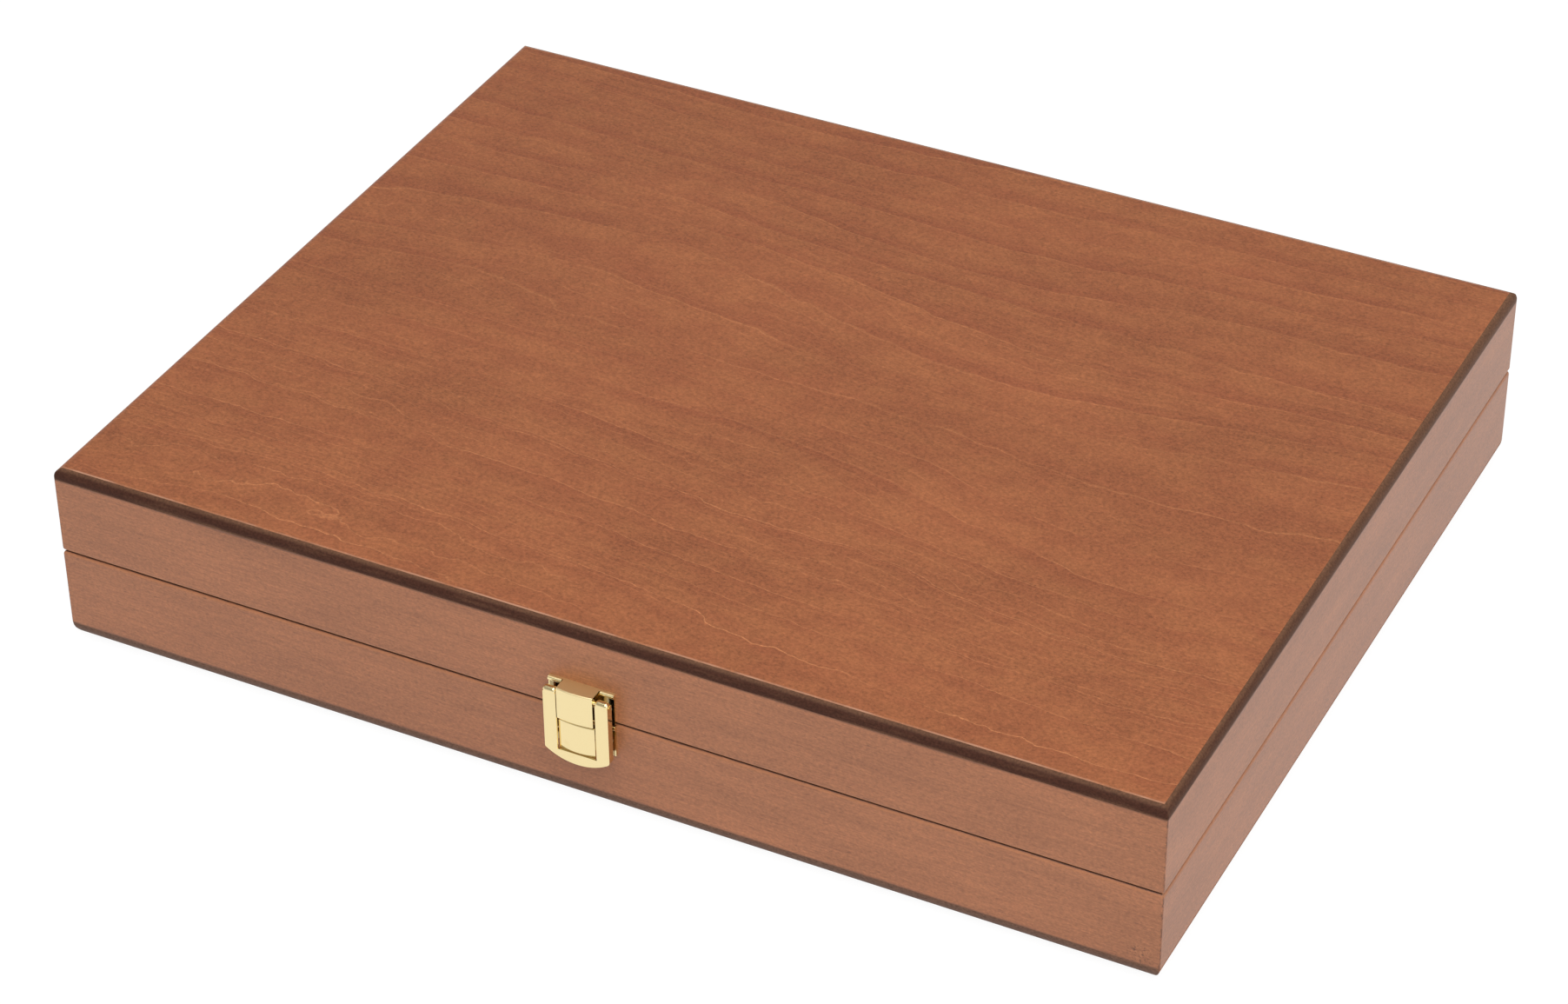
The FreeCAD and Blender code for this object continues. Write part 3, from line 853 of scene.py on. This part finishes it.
def nail_pattern(turn):
    """Round nails whose heads are caps of a ball."""
    sizes = ("Head radius", "Dome", "Ball radius", "Shank radius", "Length", "Tip length")
    pattern = Pattern("domed nails", sizes)
    head, dome, ball, shank, whole_length, tip = (pattern.given[size] for size in sizes)
    cap = pattern.cone(0.0, head, dome, pattern.times(dome, -1.0), DOME_RINGS)
    position = pattern.part("InputPosition", {})
    x, y, _ = pattern.node("SeparateXYZ", {0: position}).outputs
    across = pattern.calc("MULTIPLY_ADD", x, x, pattern.times(y, y))
    rise = pattern.calc("SQRT", pattern.minus(pattern.times(ball, ball), across))
    rise = pattern.minus(rise, pattern.minus(ball, dome))
    inputs = {"Geometry": cap, "Position": pattern.join(x, y, rise)}
    rounded = pattern.part("SetPosition", inputs)
    stem_length = pattern.minus(whole_length, tip)
    stem = pattern.cone(shank, shank, stem_length, 0.0)
    return pattern.set_out((rounded, stem, pattern.cone(shank, 0.0, tip, stem_length)), turn)


def fasten(name, node, body, tree, points, values, material):
    """Runs a pattern on the points and keeps its result as one plain piece in the node's place."""
    mesh = bpy.data.meshes.new(name)
    mesh.from_pydata(points, [], [])
    holder = new_object(name + "_points", mesh)
    change = holder.modifiers.new("pattern", "NODES")
    change.node_group = tree
    values = {**values, "Material": material}
    for socket in tree.interface.items_tree:
        if socket.in_out == "INPUT" and socket.name in values:
            change[socket.identifier] = values[socket.name]
    made = finished(holder)
    bpy.data.objects.remove(holder)
    piece = new_piece(name, made, body, material)
    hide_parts(node)


# Operators

# Upward share of the normal down to which the veneer covers a panel's rounding
VENEER_REACH = 0.955
VENEER_REACH_LEFT = 0.6
LEFTWARD = -0.3


class CASE_OT_panels(bpy.types.Operator):
    """Veneered lid panel and bottom panel with rounded, dark-stained edges"""
    bl_idname = "case.panels"
    bl_label = "Panels"

    def execute(self, context):
        shape, colours = context.scene.case_shape, context.scene.case_wood
        ease, corner = shape.inner_easing, shape.corner_rounding
        top, ceiling = panel_high.z, panel_low.z
        rounding = shape.top_rounding
        edge = arc((rounding, top - rounding), rounding, 180, 90, TOP_STEPS)
        upper = [(0, ceiling), *edge, (rounding + ease, top)]
        veneer = veneer_finish("lid veneer", colours, top)
        sides = (colours.core_rub_and_highlight, *LID_SIDES)
        core = core_finish(
            "lid panel edge", colours.core, colours.core_rub_and_highlight, top, top - ceiling, sides
        )
        mesh_data = panel_mesh(upper, corner)
        lid = new_piece("lid_veneered_top", mesh_data, "lid", veneer)
        stain_edge(lid, core)
        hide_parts("lid_top_panel")
        foot, seat = shape.foot_rounding, floor_high.z
        finish_angle = 180 + math.degrees(math.asin((foot - seat) / foot))
        lower = [(foot + ease, 0), *arc((foot, foot), foot, 270, finish_angle, FOOT_STEPS)]
        veneer = veneer_finish("underside veneer", colours, 0)
        sides = (colours.wall, *FOOT_SIDES)
        core = core_finish("bottom panel edge", colours.foot, colours.core_rub_and_highlight, 0, seat, sides)
        mesh_data = panel_mesh(lower, corner)
        base = new_piece("base_veneered_bottom", mesh_data, "base", veneer)
        stain_edge(base, core)
        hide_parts("base_bottom_panel")
        return {"FINISHED"}


def stain_edge(panel, core):
    """Gives the steep edge faces the core's finish. At the left the veneer reaches further."""
    panel.data.materials.append(core)
    for face in panel.data.polygons:
        reach = VENEER_REACH_LEFT if face.normal.x < LEFTWARD else VENEER_REACH
        if abs(face.normal.z) < reach:
            face.material_index = 1


class CASE_OT_walls(bpy.types.Operator):
    """Mitred walls of the base and of the lid"""
    bl_idname = "case.walls"
    bl_label = "Walls"

    def execute(self, context):
        shape, colours = context.scene.case_shape, context.scene.case_wood
        halves = (("base", "wall", base_profile(shape)), ("lid", "rail", lid_profile(shape)))
        for body, word, profile in halves:
            across = wall_finish(f"{body} wood across", colours, True, body)
            deep = wall_finish(f"{body} wood deep", colours, False, body)
            for i, side in enumerate(("front", "right", "back", "left")):
                if side in ("front", "back"):
                    run, reach, material = half_width, half_depth, across
                else:
                    run, reach, material = half_depth, half_width, deep
                turn = Euler((0, 0, math.radians(90 * i))).to_matrix()
                mesh_data = wall_mesh(profile, turn, run, reach, shape.corner_rounding)
                if side == "back":
                    leaves = [f"{hinge}_hinge_{body}_leaf" for hinge in ("left", "right")]
                    mesh_data = pocketed(mesh_data, leaves)
                name = f"{body}_{side}_stained_{word}"
                piece = new_piece(name, mesh_data, body, material)
                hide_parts(f"{body}_{side}_{word}")
        return {"FINISHED"}


class CASE_OT_linings(bpy.types.Operator):
    """Velour sheets inside the base and the lid, pressed down along their edges"""
    bl_idname = "case.linings"
    bl_label = "Linings"

    def execute(self, context):
        looks = context.scene.case_lining
        velour = velour_finish("lining velour", looks)
        for body, node, carrier, up in (
            ("base", "base_lining", "base_bottom_panel", 1),
            ("lid", "lid_lining", "lid_top_panel", -1),
        ):
            low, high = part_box(node)
            mesh_data = lining_mesh(low, high, up, looks)
            piece = new_piece(f"{body}_velour_lining", mesh_data, body, velour)
            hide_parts(node)
        return {"FINISHED"}


LINING_COLUMNS, LINING_ROWS = 90, 72
LINING_SINK = 0.14 * MM
RIPPLE_HEIGHT = 0.12 * MM
RIPPLES_PER_METRE = 28


def lining_mesh(low, high, up, looks):
    """Sheet that bulges a little inside its pressed edge, lying on the panel behind it."""
    size = high - low
    seat, crown = (low.z, high.z) if up > 0 else (high.z, low.z)
    sheet = []
    for j in range(LINING_ROWS + 1):
        row = []
        for i in range(LINING_COLUMNS + 1):
            x = low.x + size.x * i / LINING_COLUMNS
            y = low.y + size.y * j / LINING_ROWS
            inward = min(x - low.x, high.x - x, y - low.y, high.y - y) / looks.edge_width
            press = looks.edge_drop * max(0.0, 1 - inward) ** 2
            place = Vector((x * RIPPLES_PER_METRE, y * RIPPLES_PER_METRE, up))
            ripple = RIPPLE_HEIGHT * noise.noise(place)
            row.append((x, y, crown - up * (press + LINING_SINK + ripple)))
        sheet.append(row)
    mesh_data = bmesh.new()
    grid = bridge(mesh_data, sheet, False)
    right = [row[-1] for row in grid[1:]]
    left = [row[0] for row in grid[-2:0:-1]]
    border = [*grid[0], *right, *grid[-1][-2::-1], *left]
    under = [mesh_data.verts.new((v.co.x, v.co.y, seat)) for v in border]
    for i in range(len(border)):
        after = (i + 1) % len(border)
        mesh_data.faces.new((border[i], border[after], under[after], under[i]))
    mesh_data.faces.new(under)
    return mesh_data


class CASE_OT_hinges(bpy.types.Operator):
    """Brass finish of the hinges and their screws"""
    bl_idname = "case.hinges"
    bl_label = "Hinges"

    def execute(self, context):
        metal = context.scene.case_metal
        sizes = context.scene.case_fasteners
        brass = metal_finish(
            "hinge brass", metal.brass, metal.brass_worn, BRASS_GLOSS, BRASS_SCRATCH
        )
        paint("_hinge_", brass)
        values = {
            "Head radius": sizes.screw_head,
            "Shank radius": sizes.screw_shank,
            "Length": sizes.screw_length,
            "Tip length": sizes.screw_tip,
            "Slot": sizes.screw_slot,
        }
        for body, turn in (("base", 0), ("lid", 180)):
            node = f"{body}_hinge_screws"
            name = f"{body}_slotted_screws"
            tree = screw_pattern((math.radians(turn), 0, 0))
            places = screw_places(node, body, sizes)
            fasten(name, node, body, tree, places, values, brass)
        return {"FINISHED"}


def screw_places(node, body, sizes):
    """Two places on each hinge leaf, level with the leaf's open face."""
    low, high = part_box(node)
    face = high.z if body == "base" else low.z
    places = []
    for hinge in ("left", "right"):
        leaf_low, leaf_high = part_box(f"{hinge}_hinge_{body}_leaf")
        middle = (leaf_low.x + leaf_high.x) / 2
        offset = high.x - sizes.screw_head - abs(middle)
        places += [(middle + way * offset, (low.y + high.y) / 2, face) for way in (-1, 1)]
    return places


class CASE_OT_clasp(bpy.types.Operator):
    """Gold finish of the clasp's plates, flap, pin and nails"""
    bl_idname = "case.clasp"
    bl_label = "Clasp"

    def execute(self, context):
        metal = context.scene.case_metal
        sizes = context.scene.case_fasteners
        gold = metal_finish(
            "clasp gold", metal.gold, metal.gold_worn, GOLD_GLOSS, GOLD_SCRATCH, metal.gold_recess_shade
        )
        paint("clasp_", gold)
        values = {
            "Head radius": sizes.nail_head,
            "Dome": sizes.nail_dome,
            "Ball radius": (sizes.nail_head ** 2 + sizes.nail_dome ** 2) / (2 * sizes.nail_dome),
            "Shank radius": sizes.nail_shank,
            "Length": sizes.nail_length,
            "Tip length": sizes.nail_tip,
        }
        tree = nail_pattern((math.radians(90), 0, 0))
        for body in ("base", "lid"):
            node = f"{body}_clasp_nails"
            name = f"{body}_domed_nails"
            low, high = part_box(node)
            seat, level = low.y + sizes.nail_dome, (low.z + high.z) / 2
            ends = (low.x + sizes.nail_head, high.x - sizes.nail_head)
            points = [(x, seat, level) for x in ends]
            fasten(name, node, body, tree, points, values, gold)
        return {"FINISHED"}


def paint(word, material):
    """Gives every node with the word in its name a new material."""
    for name, node in nodes.items():
        if word in name:
            node.data.materials.clear()
            node.data.materials.append(material)


# Stage: places and sizes in metres, turns in degrees, lengths of the camera in millimetres

KEY_PLACE, KEY_TARGET, KEY_SIZE = (0.3, -0.6, 1.6), (0, 0, 0.02), 1.7
FILL_PLACE, FILL_TARGET, FILL_SIZE = (1.7, -0.6, 0.8), (0, 0, 0.03), 1.2
CAMERA_PLACE = (0.46489, -0.92190, 0.75602)
CAMERA_TURN = (54.3349, 0.4697, 26.7801)
CAMERA_LENS = 99.859
CAMERA_SENSOR = 36.0
FLOOR_SIZE = 4.0
FLOOR_DROP = 0.2 * MM
FLOOR_GLOW = 0.94
FLOOR_SHADE = (0.1, 0.1, 0.1)
HORIZON, OVERHEAD = 0.05, 0.45
WHITE = (1, 1, 1)


class CASE_OT_stage(bpy.types.Operator):
    """Pale floor, soft lamps, room light and the camera"""
    bl_idname = "case.stage"
    bl_label = "Stage"

    def execute(self, context):
        looks = context.scene.case_stage
        floor_piece(looks)
        room(looks)
        lamp("key softbox", KEY_PLACE, KEY_TARGET, KEY_SIZE, looks.key)
        lamp("fill softbox", FILL_PLACE, FILL_TARGET, FILL_SIZE, looks.fill)
        camera = new_object("camera", bpy.data.cameras.new("camera"))
        camera.data.sensor_fit = "HORIZONTAL"
        camera.data.sensor_width = CAMERA_SENSOR
        camera.data.lens = CAMERA_LENS
        camera.location = CAMERA_PLACE
        camera.rotation_euler = [math.radians(angle) for angle in CAMERA_TURN]
        context.scene.camera = camera
        context.scene.view_settings.view_transform = "Standard"
        return {"FINISHED"}


def floor_piece(looks):
    """Floor that looks white but still takes the case's shadow."""
    mesh_data = bmesh.new()
    bmesh.ops.create_grid(mesh_data, x_segments=1, y_segments=1, size=FLOOR_SIZE)
    for vertex in mesh_data.verts:
        vertex.co.z = -FLOOR_DROP
    mesh = new_mesh("studio_floor", mesh_data)
    floor = new_object("studio_floor", mesh)
    finish = Finish("studio floor")
    plain = finish.node("BsdfDiffuse", {"Color": looks.floor[:]}).outputs[0]
    faint = finish.node("BsdfDiffuse", {"Color": FLOOR_SHADE}).outputs[0]
    glow = finish.node("Emission", {"Color": WHITE, "Strength": FLOOR_GLOW}).outputs[0]
    white = finish.node("AddShader", {0: faint, 1: glow}).outputs[0]
    shown = finish.node("MixShader", {0: seen_ray(finish), 1: plain, 2: white}).outputs[0]
    finish.feed(finish.tree.nodes["Material Output"].inputs[0], shown)
    mesh.materials.append(finish.material)


def seen_ray(finish):
    """One where a camera, mirror or glass ray looks, nought for light that bounces."""
    path = finish.node("LightPath", {}).outputs
    seen = finish.larger(path["Is Camera Ray"], path["Is Glossy Ray"])
    return finish.larger(seen, path["Is Transmission Ray"])


def room(looks):
    """White to the camera; for mirrors white at the horizon, dimmer overhead; else an even glow."""
    world = bpy.data.worlds.new("studio")
    bpy.context.scene.world = world
    world.use_nodes = True
    wiring = Wiring(world.node_tree)
    path = wiring.node("LightPath", {}).outputs
    direction = wiring.node("TexCoord", {}).outputs["Generated"]
    height = wiring.node("SeparateXYZ", {0: direction}).outputs["Z"]
    sky = wiring.ramp(height, HORIZON, OVERHEAD, 1.0, looks.room)
    mirrored = wiring.node("Mix", {0: path["Is Glossy Ray"], 2: looks.room, 3: sky}).outputs[0]
    shown = wiring.node("Mix", {0: path["Is Camera Ray"], 2: mirrored, 3: 1.0}).outputs[0]
    background = wiring.tree.nodes["Background"]
    wiring.feed(background.inputs["Strength"], shown)
    wiring.feed(background.inputs["Color"], WHITE)


def lamp(name, place, target, size, energy):
    light = bpy.data.lights.new(name, "AREA")
    light.shape = "SQUARE"
    light.size = size
    light.energy = energy
    piece = new_object(name, light)
    piece.location = place
    aim = Vector(target) - Vector(place)
    piece.rotation_euler = aim.to_track_quat("-Z", "Y").to_euler()


# Panel and registration

class CASE_PT_sidebar(bpy.types.Panel):
    bl_label = "Presentation case"
    bl_idname = "CASE_PT_sidebar"
    bl_space_type = "VIEW_3D"
    bl_region_type = "UI"
    bl_category = "Case"

    def draw(self, context):
        for operator in operators:
            self.layout.operator(operator.bl_idname)
        for name in groups:
            box = self.layout.box()
            group = getattr(context.scene, name)
            for value in group.__annotations__:
                box.prop(group, value)


groups = {
    "case_shape": CaseShape,
    "case_wood": WoodColours,
    "case_lining": LiningLooks,
    "case_metal": MetalColours,
    "case_fasteners": FastenerSizes,
    "case_stage": StageLooks,
}
operators = (
    CASE_OT_panels, CASE_OT_walls, CASE_OT_linings, CASE_OT_hinges, CASE_OT_clasp, CASE_OT_stage
)


def register():
    for kind in (*groups.values(), *operators, CASE_PT_sidebar):
        bpy.utils.register_class(kind)
    for name, kind in groups.items():
        setattr(bpy.types.Scene, name, PointerProperty(type=kind))


def unregister():
    for name in groups:
        delattr(bpy.types.Scene, name)
    for kind in (CASE_PT_sidebar, *reversed(operators), *groups.values()):
        bpy.utils.unregister_class(kind)


def main():
    register()
    bpy.ops.case.panels()
    bpy.ops.case.walls()
    bpy.ops.case.linings()
    bpy.ops.case.hinges()
    bpy.ops.case.clasp()
    bpy.ops.case.stage()


if __name__ == "__main__":
    main()
